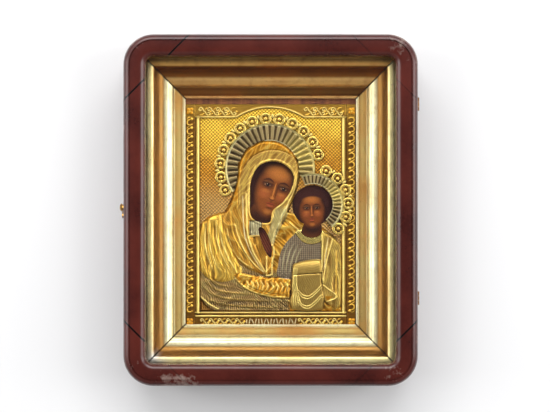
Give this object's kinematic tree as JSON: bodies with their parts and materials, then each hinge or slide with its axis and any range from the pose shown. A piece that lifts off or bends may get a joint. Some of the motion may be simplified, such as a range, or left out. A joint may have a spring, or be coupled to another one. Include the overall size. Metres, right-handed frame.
{
  "type": "icon in a glazed case",
  "caption": "Painted icon under an embossed gilt and silver metal cover, set in a gilt liner inside a shallow lacquered wooden case with rounded corners and a hinged glazed door.",
  "frame": {"origin": "middle of the case's back face", "axes": "+Z out of the front through the glass, +Y to the top of the icon, +X to the right as seen from the front"},
  "size_m": [0.2262, 0.264, 0.062],
  "materials": {
    "lacquered_wood": "satin",
    "bare_wood": "matte",
    "gilt_wood": "satin",
    "gilt_silver": "satin",
    "brass": "satin",
    "glass": "gloss"
  },
  "bodies": {
    "case": {"case_wall_right": "lacquered_wood", "case_wall_top": "lacquered_wood", "case_wall_left": "lacquered_wood", "case_wall_bottom": "lacquered_wood", "case_corner_top_right": "lacquered_wood", "case_corner_top_left": "lacquered_wood", "case_corner_bottom_left": "lacquered_wood", "case_corner_bottom_right": "lacquered_wood", "case_back": "lacquered_wood", "liner_right": "gilt_wood", "liner_top": "gilt_wood", "liner_left": "gilt_wood", "liner_bottom": "gilt_wood", "packing_strip": "bare_wood", "icon_board": "bare_wood", "icon_cover": "gilt_silver", "mother_halo": "gilt_silver", "child_halo": "gilt_silver", "hinge_upper_case_leaf": "brass", "hinge_upper_pin": "brass", "hinge_lower_case_leaf": "brass", "hinge_lower_pin": "brass", "hook_catch_pin": "brass"},
    "door": {"door_rail_right": "lacquered_wood", "door_rail_top": "lacquered_wood", "door_rail_left": "lacquered_wood", "door_rail_bottom": "lacquered_wood", "door_corner_top_right": "lacquered_wood", "door_corner_top_left": "lacquered_wood", "door_corner_bottom_left": "lacquered_wood", "door_corner_bottom_right": "lacquered_wood", "door_glass": "glass", "glazing_strip_right": "lacquered_wood", "glazing_strip_top": "lacquered_wood", "glazing_strip_left": "lacquered_wood", "glazing_strip_bottom": "lacquered_wood", "hinge_upper_door_leaf": "brass", "hinge_lower_door_leaf": "brass", "hook_screw": "brass"},
    "hook": {"hook": "brass"}
  },
  "joints": [
    {"name": "door_hinge", "type": "hinge", "parent": "case", "child": "door", "pos_m": [0.1112, 0, 0.04615], "axis": [0, 1, 0], "range_deg": [0, 180]},
    {"name": "hook_pivot", "type": "hinge", "parent": "door", "child": "hook", "pos_m": [-0.1114, 0.002, 0.05], "axis": [1, 0, 0], "range_deg": [0, 90]}
  ]
}
